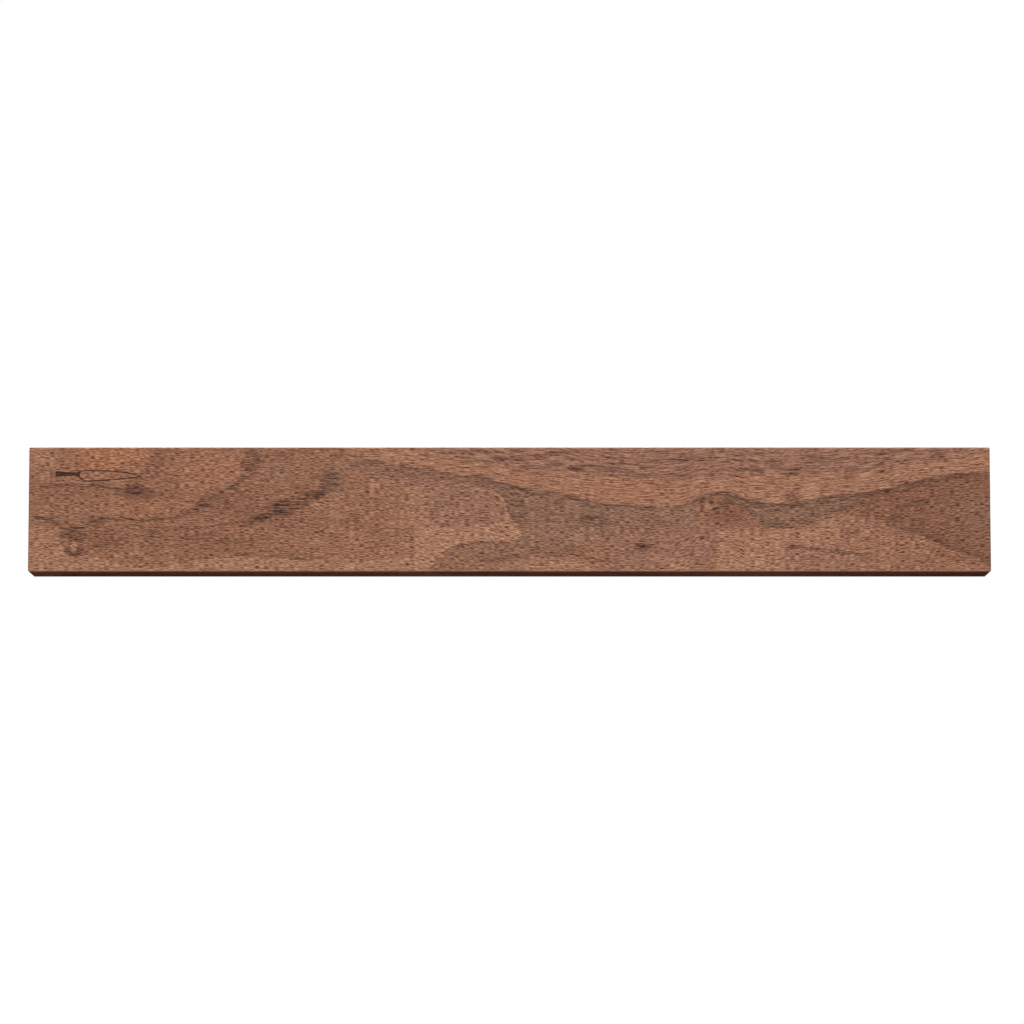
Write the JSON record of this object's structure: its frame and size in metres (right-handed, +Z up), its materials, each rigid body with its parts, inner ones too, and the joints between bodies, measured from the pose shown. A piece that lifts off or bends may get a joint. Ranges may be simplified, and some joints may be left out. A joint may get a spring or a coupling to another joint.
{
  "type": "knife magnetic rack",
  "caption": "Wooden wall bar with a flat walnut face and a hidden magnet pack that holds knives by their blades; hangs on keyhole plates.",
  "frame": {"origin": "centre of the flat back face, on the wall plane", "axes": "+X along the bar, +Y into the wall so that the knives hang on the face looking along -Y, +Z up"},
  "size_m": [0.5, 0.028, 0.065],
  "materials": {
    "walnut": "oiled, satin, open pores",
    "rear_walnut": "sanded, thin oil",
    "nickel_plate": "bright nickel plating on sintered magnets",
    "zinc_steel": "zinc plated, punched sheet",
    "screw_zinc": "zinc plated",
    "bright_steel": "cold rolled, lightly oiled",
    "black_plastic": "moulded, matte"
  },
  "bodies": {
    "root": {"walnut_body": "walnut", "rear_cover": "rear_walnut", "magnet_spacer": "black_plastic", "keeper_strip": "bright_steel", "keyhole_plate_left": "zinc_steel", "keyhole_plate_right": "zinc_steel", "magnet_upper_01": "nickel_plate", "magnet_upper_02": "nickel_plate", "magnet_upper_03": "nickel_plate", "magnet_upper_04": "nickel_plate", "magnet_upper_05": "nickel_plate", "magnet_upper_06": "nickel_plate", "magnet_upper_07": "nickel_plate", "magnet_upper_08": "nickel_plate", "magnet_upper_09": "nickel_plate", "magnet_upper_10": "nickel_plate", "magnet_upper_11": "nickel_plate", "magnet_upper_12": "nickel_plate", "magnet_lower_01": "nickel_plate", "magnet_lower_02": "nickel_plate", "magnet_lower_03": "nickel_plate", "magnet_lower_04": "nickel_plate", "magnet_lower_05": "nickel_plate", "magnet_lower_06": "nickel_plate", "magnet_lower_07": "nickel_plate", "magnet_lower_08": "nickel_plate", "magnet_lower_09": "nickel_plate", "magnet_lower_10": "nickel_plate", "magnet_lower_11": "nickel_plate", "magnet_lower_12": "nickel_plate", "cover_screw_top_1": "screw_zinc", "cover_screw_top_2": "screw_zinc", "cover_screw_top_3": "screw_zinc", "cover_screw_top_4": "screw_zinc", "cover_screw_bottom_1": "screw_zinc", "cover_screw_bottom_2": "screw_zinc", "cover_screw_bottom_3": "screw_zinc", "cover_screw_bottom_4": "screw_zinc", "cover_screw_end_left": "screw_zinc", "cover_screw_end_right": "screw_zinc", "hanger_screw_left_top": "screw_zinc", "hanger_screw_left_bottom": "screw_zinc", "hanger_screw_right_top": "screw_zinc", "hanger_screw_right_bottom": "screw_zinc"}
  },
  "joints": []
}
